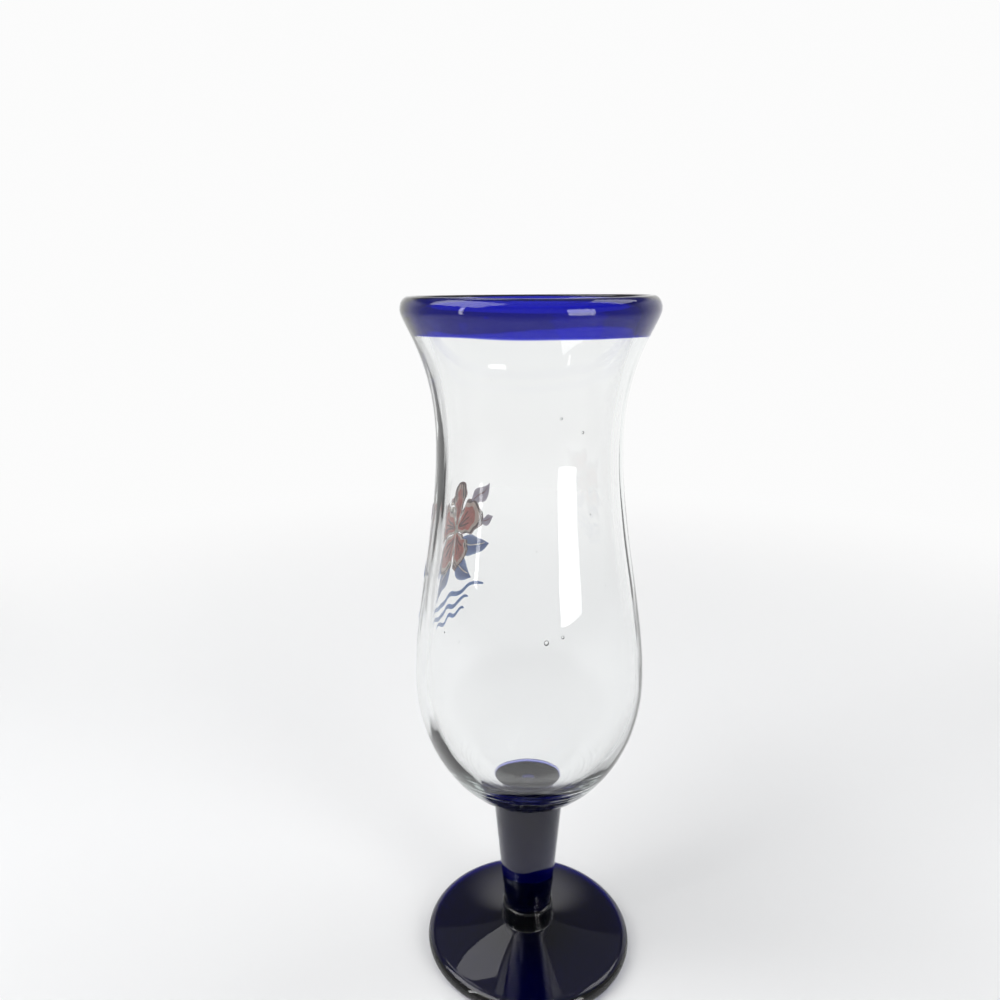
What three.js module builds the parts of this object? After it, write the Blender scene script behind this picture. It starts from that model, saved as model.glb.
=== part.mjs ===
// Hurricane glass: a clear blown bowl with a cobalt lip, on a cobalt stem, collar and foot.
// Millimetres, +Z up. The origin is the centre of the ring that the foot stands on.
import * as THREE from "three";

// Foot: a disc with a full-round edge, crowned on top and hollowed underneath
const FOOT_RADIUS = 37.7;
const FOOT_EDGE = 6.0;
const FOOT_RISE = 3.6;
const STANDING_RING = 5.0;
const FOOT_HOLLOW = 1.4;
// The ground mark under the foot where it was held while the lip was worked
const PONTIL_RADIUS = 8.0;
const PONTIL_DEPTH = 1.1;

// Collar: the short drum between foot and stem, with a round upper edge and a fillet on to the foot
const COLLAR_HEIGHT = 7.6;
const COLLAR_OVERHANG = 0.8;
const COLLAR_FILLET = 0.5;

// Stem: drawn thinner towards the foot, flared out again where it meets the bowl
const STEM_LENGTH = 46.4;
const STEM_BOTTOM_RADIUS = 8.4;
const STEM_TOP_RADIUS = 12.3;
const STEM_FLARE = 0.9;
const STEM_FLARE_HEIGHT = 2.4;
// The dimple in the stem's top that holds a bead of air under the bowl
const DIMPLE_RADIUS = 1.9;
const DIMPLE_DEPTH = 2.2;

// Bowl: belly, waist and flared rim, each given by its radius and its height over the one below
const BELLY_RADIUS = 38.7;
const BELLY_OVER_STEM = 45.5;
const WAIST_RADIUS = 30.0;
const WAIST_OVER_BELLY = 81.6;
const RIM_RADIUS = 39.9;
const RIM_OVER_WAIST = 40.3;
const WALL = 3.2;
const BASE_THICKNESS = 2.6;

// Lip: a thickened round edge; the cobalt band takes in the lip and part of the flare below it
const LIP_THICKNESS = 5.6;
const LIP_CROWN = 4.0;
const BAND_BELOW_RIM = 7.1;

// Share of a stretch's height over which its curve leaves each end upright
const SIDE_LOW_HANDLE = 0.29;
const SIDE_HIGH_HANDLE = 0.34;
const FLARE_LOW_HANDLE = 0.64;
const FLARE_HIGH_HANDLE = 0.1;
const INSIDE_LOW_HANDLE = 0.5;
const INSIDE_HIGH_HANDLE = 0.22;

// Where the foot's crown bends, as shares of its way out to the edge and of its rise
const CROWN_BEND_OUT = 0.42;
const CROWN_BEND_UP = 0.25;

// Facets round every turned piece, so that touching faces share their corners
const AROUND = 48;

// Heights of the seats, each standing on the one below
const FOOT_TOP = FOOT_EDGE + FOOT_RISE;
const STEM_SEAT = FOOT_TOP + COLLAR_HEIGHT;
const BOWL_SEAT = STEM_SEAT + STEM_LENGTH;

// The collar's drum, and the seat that its fillet covers on the foot
const COLLAR_RADIUS = STEM_BOTTOM_RADIUS + COLLAR_OVERHANG;
const COLLAR_SEAT_RADIUS = COLLAR_RADIUS + COLLAR_FILLET;

// Heights inside the bowl, over its own seat
const BELLY_Z = BELLY_OVER_STEM;
const WAIST_Z = BELLY_Z + WAIST_OVER_BELLY;
const RIM_Z = WAIST_Z + RIM_OVER_WAIST;
const BAND_Z = RIM_Z - BAND_BELOW_RIM;
const BOWL_SEAT_RADIUS = STEM_TOP_RADIUS + STEM_FLARE;

const CLEAR_GLASS = { color: 0xeef2f0, roughness: 0.04, metalness: 0.0, transparent: true, opacity: 0.35 };
const COBALT_GLASS = { color: 0x0a0fa0, roughness: 0.05, metalness: 0.0, transparent: true, opacity: 0.9 };

// A profile point: distance from the axis, then height.
function at(radius, height) {
  return new THREE.Vector2(radius, height);
}

// A wall curve that is upright at both of its ends.
function wallCurve(low, high, lowHandle, highHandle) {
  const rise = high.y - low.y;
  const leave = at(low.x, low.y + lowHandle * rise);
  const arrive = at(high.x, high.y - highHandle * rise);
  return new THREE.CubicBezierCurve(low, leave, arrive, high);
}

// Where a rising curve passes a height, found by halving.
function shareAtHeight(curve, height) {
  let below = 0;
  let above = 1;
  for (let step = 0; step < 40; step += 1) {
    const middle = (below + above) / 2;
    if (curve.getPoint(middle).y < height) {
      below = middle;
    } else {
      above = middle;
    }
  }
  return (below + above) / 2;
}

// Points of a curve from one share of it to another, both ends included.
function along(curve, from, to, steps) {
  const points = [];
  for (let step = 0; step <= steps; step += 1) {
    points.push(curve.getPoint(from + ((to - from) * step) / steps));
  }
  return points;
}

// An elliptical arc of the profile, with its angles in turns from the +radius side.
function arc(centre, radiusAcross, radiusUp, fromTurn, toTurn, steps) {
  const from = fromTurn * 2 * Math.PI;
  const to = toTurn * 2 * Math.PI;
  const curve = new THREE.EllipseCurve(centre.x, centre.y, radiusAcross, radiusUp, from, to, to < from);
  return along(curve, 0, 1, steps);
}

// One piece turned about the axis from its profile, named and seated at a height.
function turned(name, profile, seat, look) {
  const points = profile.filter((point, index) => {
    return index === 0 || point.distanceTo(profile[index - 1]) > 1e-4;
  });
  const geometry = new THREE.LatheGeometry(points, AROUND);
  geometry.rotateX(Math.PI / 2);
  const mesh = new THREE.Mesh(geometry, new THREE.MeshStandardMaterial(look));
  mesh.name = name;
  mesh.position.z = seat;
  return mesh;
}

// Foot: pontil mark, hollow, flat standing ring, round edge, crown up to the collar's seat
function footProfile() {
  const half = FOOT_EDGE / 2;
  const ringOuter = FOOT_RADIUS - half;
  const ringInner = ringOuter - STANDING_RING;
  const bendRadius = COLLAR_SEAT_RADIUS + CROWN_BEND_OUT * (ringOuter - COLLAR_SEAT_RADIUS);
  const hollow = new THREE.QuadraticBezierCurve(
    at(PONTIL_RADIUS, FOOT_HOLLOW),
    at((PONTIL_RADIUS + ringInner) / 2, FOOT_HOLLOW),
    at(ringInner, 0),
  );
  const crown = new THREE.QuadraticBezierCurve(
    at(ringOuter, FOOT_EDGE),
    at(bendRadius, FOOT_EDGE + CROWN_BEND_UP * FOOT_RISE),
    at(COLLAR_SEAT_RADIUS, FOOT_TOP),
  );
  return [
    ...arc(at(0, FOOT_HOLLOW), PONTIL_RADIUS, PONTIL_DEPTH, 0.25, 0, 4),
    ...along(hollow, 0, 1, 4),
    ...arc(at(ringOuter, half), half, half, -0.25, 0.25, 8),
    ...along(crown, 0, 1, 6),
    at(0, FOOT_TOP),
  ];
}

// Collar: fillet, upright side, and a round upper edge that ends at the stem's own size
function collarProfile() {
  const edgeFoot = at(STEM_BOTTOM_RADIUS, COLLAR_HEIGHT - COLLAR_OVERHANG);
  return [
    at(0, 0),
    ...arc(at(COLLAR_SEAT_RADIUS, COLLAR_FILLET), COLLAR_FILLET, COLLAR_FILLET, -0.25, -0.5, 4),
    ...arc(edgeFoot, COLLAR_OVERHANG, COLLAR_OVERHANG, 0, 0.25, 5),
    at(0, COLLAR_HEIGHT),
  ];
}

// Stem: straight taper, quarter-round flare under the bowl, dimple in the top
function stemProfile() {
  const flareBase = at(STEM_TOP_RADIUS + STEM_FLARE, STEM_LENGTH - STEM_FLARE_HEIGHT);
  return [
    at(0, 0),
    at(STEM_BOTTOM_RADIUS, 0),
    ...arc(flareBase, STEM_FLARE, STEM_FLARE_HEIGHT, 0.5, 0.25, 4),
    ...arc(at(0, STEM_LENGTH), DIMPLE_RADIUS, DIMPLE_DEPTH, 0, -0.25, 4),
  ];
}

// The flared wall above the waist, outside and inside, shared by bowl and band
const outerFlare = wallCurve(
  at(WAIST_RADIUS, WAIST_Z),
  at(RIM_RADIUS, RIM_Z),
  FLARE_LOW_HANDLE,
  FLARE_HIGH_HANDLE,
);
const innerFlare = wallCurve(
  at(WAIST_RADIUS - WALL, WAIST_Z),
  at(RIM_RADIUS - LIP_THICKNESS, RIM_Z),
  INSIDE_LOW_HANDLE,
  INSIDE_HIGH_HANDLE,
);
const outerJoin = shareAtHeight(outerFlare, BAND_Z);
const innerJoin = shareAtHeight(innerFlare, BAND_Z);

// Bowl: flat seat, elliptical base, belly to waist, flare to the band, then down the inside
function bowlProfile() {
  const seatLift = Math.sqrt(1 - (BOWL_SEAT_RADIUS / BELLY_RADIUS) ** 2);
  const drop = BELLY_Z / seatLift;
  const seatTurn = -Math.asin(seatLift) / (2 * Math.PI);
  const outerSide = wallCurve(
    at(BELLY_RADIUS, BELLY_Z),
    at(WAIST_RADIUS, WAIST_Z),
    SIDE_LOW_HANDLE,
    SIDE_HIGH_HANDLE,
  );
  const innerSide = wallCurve(
    at(BELLY_RADIUS - WALL, BELLY_Z),
    at(WAIST_RADIUS - WALL, WAIST_Z),
    SIDE_LOW_HANDLE,
    SIDE_HIGH_HANDLE,
  );
  return [
    at(0, 0),
    ...arc(at(0, BELLY_Z), BELLY_RADIUS, drop, seatTurn, 0, 10),
    ...along(outerSide, 0, 1, 11),
    ...along(outerFlare, 0, outerJoin, 7),
    ...along(innerFlare, innerJoin, 0, 6),
    ...along(innerSide, 1, 0, 10),
    ...arc(at(0, BELLY_Z), BELLY_RADIUS - WALL, BELLY_Z - BASE_THICKNESS, 0, -0.25, 10),
  ];
}

// Lip band: the top of the flare closed over by the round lip, in heights over the band's seat
function bandProfile() {
  const lipCentre = at(RIM_RADIUS - LIP_THICKNESS / 2, RIM_Z);
  const loop = [
    ...along(outerFlare, outerJoin, 1, 4),
    ...arc(lipCentre, LIP_THICKNESS / 2, LIP_CROWN, 0, 0.5, 10),
    ...along(innerFlare, 1, innerJoin, 4),
    outerFlare.getPoint(outerJoin),
  ];
  return loop.map((point) => at(point.x, point.y - BAND_Z));
}

// The cobalt base and the vessel on it
const base = new THREE.Group();
base.name = "base";
base.add(
  turned("foot", footProfile(), 0, COBALT_GLASS),
  turned("foot_collar", collarProfile(), FOOT_TOP, COBALT_GLASS),
  turned("stem", stemProfile(), STEM_SEAT, COBALT_GLASS),
);

const vessel = new THREE.Group();
vessel.name = "vessel";
vessel.position.z = BOWL_SEAT;
vessel.add(
  turned("bowl", bowlProfile(), 0, CLEAR_GLASS),
  turned("rim_band", bandProfile(), BAND_Z, COBALT_GLASS),
);

const glass = new THREE.Group();
glass.name = "hurricane_glass";
glass.add(base, vessel);

export default glass;
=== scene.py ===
# %% [markdown]
# # A hurricane glass
# The glass is hand-blown: a clear waisted bowl with a cobalt lip, fused on to a cobalt stem, a drum
# of a collar and a round foot. The frame gives each piece its place and its outer size. This script
# makes the finer surfaces that go there, their finishes, the light and the camera.

# %% Load the frame
import math

import bpy
import numpy as np
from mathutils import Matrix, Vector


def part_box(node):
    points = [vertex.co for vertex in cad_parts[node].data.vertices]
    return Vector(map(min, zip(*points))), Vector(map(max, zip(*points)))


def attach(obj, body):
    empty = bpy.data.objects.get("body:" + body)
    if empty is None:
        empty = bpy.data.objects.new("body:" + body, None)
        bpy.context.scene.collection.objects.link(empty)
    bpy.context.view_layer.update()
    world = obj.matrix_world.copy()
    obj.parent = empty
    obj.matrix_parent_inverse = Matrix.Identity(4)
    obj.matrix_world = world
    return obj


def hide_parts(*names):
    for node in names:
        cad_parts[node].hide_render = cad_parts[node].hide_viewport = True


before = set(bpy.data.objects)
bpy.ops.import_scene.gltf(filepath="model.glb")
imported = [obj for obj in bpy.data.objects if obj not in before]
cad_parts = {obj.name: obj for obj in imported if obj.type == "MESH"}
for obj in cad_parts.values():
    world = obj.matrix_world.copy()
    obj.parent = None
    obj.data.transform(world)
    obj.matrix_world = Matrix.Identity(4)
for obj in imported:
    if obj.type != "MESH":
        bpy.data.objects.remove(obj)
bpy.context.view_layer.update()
# Everything is in metres, so a size in millimetres is written as a number of these
MM = 0.001

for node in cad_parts:
    low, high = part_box(node)
    bottom, top, radius = (round(length / MM, 2) for length in (low.z, high.z, high.x))
    print(node, "stands from", bottom, "to", top, "mm, radius", radius)

# %% [markdown]
# ## The camera
# The camera is level with the rim and looks down at the glass from about a hand's length away. So near
# a lens makes the rim look wide and the foot small, and only the real distance and lens give that
# shape. The camera is turned by three angles, and their axes go straight into its matrix.

# %% Camera
CAMERA_FRONT = 255.9 * MM
CAMERA_HEIGHT = 238.5 * MM
CAMERA_PITCH = math.radians(14.90)
CAMERA_YAW = math.radians(-2.14)
CAMERA_ROLL = math.radians(-0.30)
LENS_MM = 29.34
SENSOR_MM = 36.0
NEAREST_SEEN = 10 * MM


def camera_axes(pitch, yaw, roll):
    """The camera's right, up and view directions: the view is turned by yaw and dipped by pitch,
    then right and up are turned about it by roll."""
    view = np.array([math.sin(yaw) * math.cos(pitch), math.cos(yaw) * math.cos(pitch), -math.sin(pitch)])
    level = np.array([math.cos(yaw), -math.sin(yaw), 0.0])
    upright = np.cross(level, view)
    right = math.cos(roll) * level + math.sin(roll) * upright
    up = math.cos(roll) * upright - math.sin(roll) * level
    return right, up, view


right, up, view = camera_axes(CAMERA_PITCH, CAMERA_YAW, CAMERA_ROLL)
camera_data = bpy.data.cameras.new("camera")
camera_data.lens = LENS_MM
camera_data.sensor_width = SENSOR_MM
camera_data.clip_start = NEAREST_SEEN
camera = bpy.data.objects.new("camera", camera_data)
placing = np.eye(4)
placing[:3, 0] = right
placing[:3, 1] = up
placing[:3, 2] = -view
placing[:3, 3] = (0.0, -CAMERA_FRONT, CAMERA_HEIGHT)
camera.matrix_world = placing.T.tolist()
bpy.context.scene.collection.objects.link(camera)
bpy.context.scene.camera = camera
print("camera at", [round(v, 4) for v in camera.location])

# %% [markdown]
# ## Surfaces from arrays
# Every piece here is a profile carried round an axis, so one grid of points serves them all: a row
# for each profile point and a column for each step round. Rows on the axis shrink to one point, and
# a profile that closes on itself joins its last row to its first.

# %% Faces of a grid
AROUND = 288


def ring_angles(around):
    """Equal steps round the axis, without repeating the first."""
    return np.arange(around) * (2 * math.pi / around)


def strip_quads(first, second, around):
    """Four-cornered faces between two rows of a grid that wraps round, given their first indices."""
    step = np.arange(around)
    following = (step + 1) % around
    return np.stack([first + step, first + following, second + following, second + step], axis=1)


def fan_triangles(pole, row, around, upward):
    """Three-cornered faces from one pole point to a row that wraps round."""
    step = np.arange(around)
    following = (step + 1) % around
    pair = (step, following) if upward else (following, step)
    return np.stack([np.full(around, pole), row + pair[0], row + pair[1]], axis=1)


def grid_faces(rows, around, start, closed):
    """All faces of one grid whose points start at an index. An open grid gets a pole point, stored
    after its rows, at each end; a closed one joins its last row to its first."""
    firsts = start + np.arange(rows) * around
    pairs = list(zip(firsts[:-1], firsts[1:]))
    if closed:
        pairs.append((firsts[-1], firsts[0]))
    quads = np.concatenate([strip_quads(a, b, around) for a, b in pairs]).tolist()
    if closed:
        return quads
    bottom = start + rows * around
    fans = fan_triangles(bottom, firsts[0], around, False).tolist()
    return quads + fans + fan_triangles(bottom + 1, firsts[-1], around, True).tolist()


def joint_faces(in_joint, around, closed):
    """Which faces of a grid lie in a fused joint: those whose two rows both do, in grid_faces' order."""
    pairs = in_joint[:-1] & in_joint[1:]
    ends = [in_joint[-1] & in_joint[0]] if closed else [in_joint[0], in_joint[-1]]
    return np.repeat(np.concatenate([pairs, ends]), around)


print("a turned surface has", AROUND, "columns, one every", round(360 / AROUND, 2), "degrees")

# %% One solid from its grids
# Edges sharper than this are shaded as edges
SHARP_EDGE = math.radians(40)


def solid_from_grids(name, grids, in_joint=None):
    """One mesh object from (points, poles) pairs. points is rows by columns by 3 with its faces
    outwards when rows rise on the outside; poles is None on a closed profile, else two points.
    in_joint says which rows of the first grid touch another piece. Every other face is free: 1 in the
    attribute free_face."""
    points = []
    faces = []
    start = 0
    for grid, poles in grids:
        rows, around, _ = grid.shape
        flat = grid.reshape(-1, 3)
        faces += grid_faces(rows, around, start, poles is None)
        points.append(flat)
        start += len(flat)
        if poles is not None:
            points.append(np.asarray(poles, float))
            start += 2
    mesh = bpy.data.meshes.new(name)
    mesh.from_pydata(np.concatenate(points).tolist(), [], faces)
    mesh.shade_smooth()
    mesh.set_sharp_from_angle(angle=SHARP_EDGE)
    free = np.ones(len(faces))
    if in_joint is not None:
        joined = joint_faces(in_joint, grids[0][0].shape[1], grids[0][1] is None)
        free[:len(joined)] = 1.0 - joined
    mesh.attributes.new("free_face", "FLOAT", "FACE").data.foreach_set("value", free)
    piece = bpy.data.objects.new(name, mesh)
    bpy.context.scene.collection.objects.link(piece)
    print(name, len(mesh.vertices), "points,", len(mesh.polygons), "faces")
    return piece


# %% Profiles carried round, and finished pieces
def carried_round(profile, around, shift=None):
    """A profile of (radius, height) rows carried round the axis: x = r cos a, y = r sin a, z = h.
    shift(angle, radius, height) gives what hand work adds to each point's radius and height."""
    angle = ring_angles(around)[None, :]
    radius = np.repeat(profile[:, :1], around, axis=1)
    height = np.repeat(profile[:, 1:], around, axis=1)
    if shift is not None:
        out, lift = shift(angle, radius, height)
        radius = radius + out
        height = height + lift
    return np.stack([radius * np.cos(angle), radius * np.sin(angle), height], axis=2)


def flagged(parts):
    """One profile from (rows, in_joint) pairs, with the flag of each of its rows."""
    profile = np.concatenate([rows for rows, _ in parts])
    return profile, np.concatenate([np.full(len(rows), flag) for rows, flag in parts])


def finished(piece, node, material):
    """A piece that stands for a CAD node rides on the one body and takes its finish."""
    piece.data.materials.append(material)
    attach(piece, "root")
    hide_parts(node)


# %% [markdown]
# ## Profile curves
# A glass blower shapes the wall with a few broad strokes, so its profile needs few points. A wall
# curve is upright at both of its ends, as the wall is at belly, waist and rim. Arcs round the edges.

# %% Profile curves
# Heights closer than this count as the same
SAME_HEIGHT = 0.001 * MM


def wall_curve(low, high, low_handle, high_handle, count):
    """A cubic curve from low to high that leaves and arrives upright: the four control points are
    weighted by the cubes of share and rest, and the middle two stand straight over the ends."""
    share = np.linspace(0.0, 1.0, count)[:, None]
    rest = 1.0 - share
    low = np.asarray(low, float)
    high = np.asarray(high, float)
    rise = np.array([0.0, high[1] - low[1]])
    leave = low + low_handle * rise
    arrive = high - high_handle * rise
    return rest**3 * low + 3 * rest**2 * share * leave + 3 * rest * share**2 * arrive + share**3 * high


def bend(start, pull, end, count):
    """A curve from start to end drawn towards one pull point, weighted by squares."""
    share = np.linspace(0.0, 1.0, count)[:, None]
    rest = 1.0 - share
    start, pull, end = (np.asarray(p, float) for p in (start, pull, end))
    return rest**2 * start + 2 * rest * share * pull + share**2 * end


def arc(centre, across, upward, from_turn, to_turn, count):
    """Part of an ellipse: centre + (across cos a, upward sin a), with a in whole turns."""
    angle = np.linspace(from_turn, to_turn, count) * 2 * math.pi
    return np.stack([centre[0] + across * np.cos(angle), centre[1] + upward * np.sin(angle)], axis=1)


def line(start, end, count):
    """Equal steps on a straight line."""
    share = np.linspace(0.0, 1.0, count)[:, None]
    return (1.0 - share) * np.asarray(start, float) + share * np.asarray(end, float)


def part_below(curve, height):
    """The stretch of a rising curve up to a height, ended exactly there."""
    radius = np.interp(height, curve[:, 1], curve[:, 0])
    return np.concatenate([curve[curve[:, 1] < height - SAME_HEIGHT], [[radius, height]]])


def part_above(curve, height):
    """The stretch of a rising curve from a height on, started exactly there."""
    radius = np.interp(height, curve[:, 1], curve[:, 0])
    return np.concatenate([[[radius, height]], curve[curve[:, 1] > height + SAME_HEIGHT]])


quarter = arc((0.0, 0.0), 1.0, 1.0, 0.0, 0.25, count=40)
quarter_length = float(np.linalg.norm(np.diff(quarter, axis=0), axis=1).sum())
print("a quarter round of radius 1 in 40 rows measures", round(quarter_length, 4))

# %% [markdown]
# ## Sizes
# The frame gives the heights of the joints and the largest radius of each piece. The waist, the
# walls and the round edges lie inside those boxes, so they are written here as real sizes.

# %% Sizes from the frame
FOOT_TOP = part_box("foot")[1].z
FOOT_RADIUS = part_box("foot")[1].x
COLLAR_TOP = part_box("foot_collar")[1].z
COLLAR_SEAT_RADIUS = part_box("foot_collar")[1].x
STEM_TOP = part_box("stem")[1].z
STEM_TOP_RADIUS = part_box("stem")[1].x
BAND_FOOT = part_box("rim_band")[0].z
LIP_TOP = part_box("rim_band")[1].z
RIM_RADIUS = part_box("rim_band")[1].x
BELLY_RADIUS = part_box("bowl")[1].x

BELLY_HEIGHT = STEM_TOP + 45.5 * MM
WAIST_HEIGHT = BELLY_HEIGHT + 81.6 * MM
WAIST_RADIUS = 30.0 * MM
WALL = 3.2 * MM
BASE_THICKNESS = 2.6 * MM
LIP_THICKNESS = 5.6 * MM
LIP_CROWN = 4.0 * MM
RIM_HEIGHT = LIP_TOP - LIP_CROWN
# The joint under the band ends higher inside than outside, so the blue thins out downwards
BAND_EDGE_OUTSIDE = BAND_FOOT
BAND_EDGE_INSIDE = BAND_FOOT + 1.4 * MM
# Two fused pieces each stop this far short of their joint, so that no two faces coincide
HAIR = 0.002 * MM
print("waist at", round(WAIST_HEIGHT / MM, 1), "mm, belly at", round(BELLY_HEIGHT / MM, 1), "mm")

# %% [markdown]
# ## What the hand leaves
# Blown glass is never quite round. The wall swells and thins slowly round the bowl, the inside
# carries faint upright ripples where it turned in the mould, and the band's edge wanders. Each is a
# sum of a few sine waves round the axis, so it closes on itself and gives the same glass every time.
# A base that turns in a wet wooden block also takes fine level rings from it.


# %% Waves round the axis
def swell(angle, height, waves):
    """Sum of sine waves round the axis. Each is (size, how many round, turns per metre up, phase)."""
    total = np.zeros(np.broadcast(angle, height).shape)
    for size, count, twist, phase in waves:
        total = total + size * np.sin(count * angle + 2 * math.pi * twist * height + phase)
    return total


OUTSIDE_WAVES = [(0.14 * MM, 2, 2.2, 0.4), (0.09 * MM, 3, -3.1, 2.1), (0.05 * MM, 5, 4.0, 1.2)]
INSIDE_WAVES = [(0.20 * MM, 2, -1.6, 2.6), (0.12 * MM, 4, 3.4, 0.9), (0.07 * MM, 7, 2.0, 3.0)]
RIPPLE_WAVES = [(0.045 * MM, 19, 1.0, 0.5), (0.028 * MM, 31, -1.5, 1.9)]
RING_WAVES = [(0.055 * MM, 0, 420.0, 0.3), (0.035 * MM, 1, 690.0, 1.7)]
LIP_WAVES = [(0.16 * MM, 2, 0.0, 1.1), (0.06 * MM, 3, 0.0, 2.4)]
BAND_EDGE_WAVES = [(0.26 * MM, 2, 0.0, -1.1), (0.12 * MM, 5, 0.0, 0.4), (0.05 * MM, 9, 0.0, 1.5)]


def largest(waves):
    """The most that a set of waves can add up to."""
    return sum(size for size, _, _, _ in waves)


def ease(value, start, end):
    """0 before start, 1 after end, and a smooth S between."""
    share = np.clip((value - start) / (end - start), 0.0, 1.0)
    return share * share * (3.0 - 2.0 * share)


print("the outside swells by up to", round(2 * largest(OUTSIDE_WAVES) / MM, 2), "mm")

# %% Hand-made unevenness
# Heights over the stem's joint: up to where the base is true, and where its rings begin, fade and end
BASE_TRUE = 25 * MM
RINGS_BEGIN = 2 * MM
RINGS_FADE = 6 * MM
RINGS_END = 16 * MM
# The share of the swells that the lip lacks, because it is melted round last
LIP_CALM = 0.6
# The ripples are full this far below the waist, and begin to end this far below the band
RIPPLES_FULL = 30 * MM
RIPPLES_FADE = 20 * MM
# The ripples' mean strength, and how much of it shifts to one side of the bowl
RIPPLE_MEAN = 0.65
RIPPLE_SIDE = 0.35
# The inside is drawn in by this much, and the floor is true inside this radius
INSIDE_DRAWN_IN = 0.2 * MM
FLOOR_TRUE = 20 * MM


def lip_lift(angle, height):
    """The lip is not quite level, and never rises past its full height."""
    return (swell(angle, 0.0, LIP_WAVES) - largest(LIP_WAVES)) * ease(height, WAIST_HEIGHT, RIM_HEIGHT)


def band_edge_lift(angle, height):
    """The wandering edge between band and bowl: whole at the joint, gone by waist and rim."""
    fade = ease(height, WAIST_HEIGHT, BAND_FOOT) * (1.0 - ease(height, BAND_FOOT, RIM_HEIGHT))
    return swell(angle, 0.0, BAND_EDGE_WAVES) * fade


def outside_shift(angle, radius, height):
    """Hand work on the outside: slow swells that only draw the wall in, and fade out under the base, so
    that the joint stays round. Fine rings from the wet block take their place there."""
    over_joint = height - STEM_TOP
    calm = 1.0 - LIP_CALM * ease(height, BAND_FOOT, RIM_HEIGHT)
    swells = swell(angle, height, OUTSIDE_WAVES) - largest(OUTSIDE_WAVES)
    ringed = ease(over_joint, 0.0, RINGS_BEGIN) * (1.0 - ease(over_joint, RINGS_FADE, RINGS_END))
    out = swells * ease(over_joint, 0.0, BASE_TRUE) * calm + swell(angle, height, RING_WAVES) * ringed
    return out, lip_lift(angle, height) + band_edge_lift(angle, height)


def inside_shift(angle, radius, height):
    """Hand work on the inside: the wall's thickness changes, with upright ripples between belly and band
    that are strongest on one side."""
    begun = ease(height, BELLY_HEIGHT, WAIST_HEIGHT - RIPPLES_FULL)
    left = 1.0 - ease(height, BAND_FOOT - RIPPLES_FADE, BAND_FOOT)
    rippled = begun * left * (RIPPLE_MEAN + RIPPLE_SIDE * np.cos(angle))
    out = swell(angle, height, INSIDE_WAVES) + swell(angle, height, RIPPLE_WAVES) * rippled
    drawn = (out - INSIDE_DRAWN_IN) * ease(radius, 0.0, FLOOR_TRUE)
    return drawn, lip_lift(angle, height) + band_edge_lift(angle, height)


waist_shift, _ = outside_shift(ring_angles(AROUND), WAIST_RADIUS, WAIST_HEIGHT)
least, most = (round(float(value) / MM, 2) for value in (waist_shift.min(), waist_shift.max()))
print("hand work shifts the waist by", least, "to", most, "mm")

# %% [markdown]
# ## Clear glass
# Clear glass has almost no colour of its own: it bends what lies behind it and mirrors a little of
# what lies before it. Principled with full transmission does both. Hand-blown soda glass still takes
# a trace of light on long ways through it, so its lower belly and its edges look greyer than its wall,
# and that is a Volume Absorption. A faint bump stands for the last waves left by the fire. Where two
# pieces are fused there is no air between them, so light goes on straight: the index is 1.5 on every
# free face and 1 in the joints, and that is read from the piece's own attribute.

# %% Node helpers for materials
# Most of a noise lies between these values
NOISE_LOW = 0.3
NOISE_HIGH = 0.7


def new_material(name):
    """An empty node material with its output node."""
    material = bpy.data.materials.new(name)
    material.use_nodes = True
    material.node_tree.nodes.clear()
    output = material.node_tree.nodes.new("ShaderNodeOutputMaterial")
    return material, material.node_tree, output


def object_noise(tree, scale, stretch, detail):
    """Noise on the piece's own coordinates, stretched along Z; scale is in features per metre."""
    place = tree.nodes.new("ShaderNodeTexCoord")
    mapping = tree.nodes.new("ShaderNodeMapping")
    mapping.inputs["Scale"].default_value = (1.0, 1.0, stretch)
    noise = tree.nodes.new("ShaderNodeTexNoise")
    noise.inputs["Scale"].default_value = scale
    noise.inputs["Detail"].default_value = detail
    tree.links.new(place.outputs["Object"], mapping.inputs["Vector"])
    tree.links.new(mapping.outputs["Vector"], noise.inputs["Vector"])
    return noise.outputs["Fac"]


def spread(tree, value, low, high):
    """A noise value spread over a range of results."""
    spreader = tree.nodes.new("ShaderNodeMapRange")
    spreader.inputs["From Min"].default_value = NOISE_LOW
    spreader.inputs["From Max"].default_value = NOISE_HIGH
    spreader.inputs["To Min"].default_value = low
    spreader.inputs["To Max"].default_value = high
    tree.links.new(value, spreader.inputs["Value"])
    return spreader.outputs["Result"]


def bumped(tree, height, distance):
    """A bump node over a height value."""
    bump = tree.nodes.new("ShaderNodeBump")
    bump.inputs["Strength"].default_value = 1.0
    bump.inputs["Distance"].default_value = distance
    tree.links.new(height, bump.inputs["Height"])
    return bump.outputs["Normal"]


# %% Clear glass material
GLASS_INDEX = 1.5
WAVE_DETAIL = 2.0
# The dull places: how many a metre, their stretch along Z, their detail, and how rough the dullest are
DULL_PLACES = (46.0, 0.6, 4.0)
SMEAR = 0.03


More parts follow.
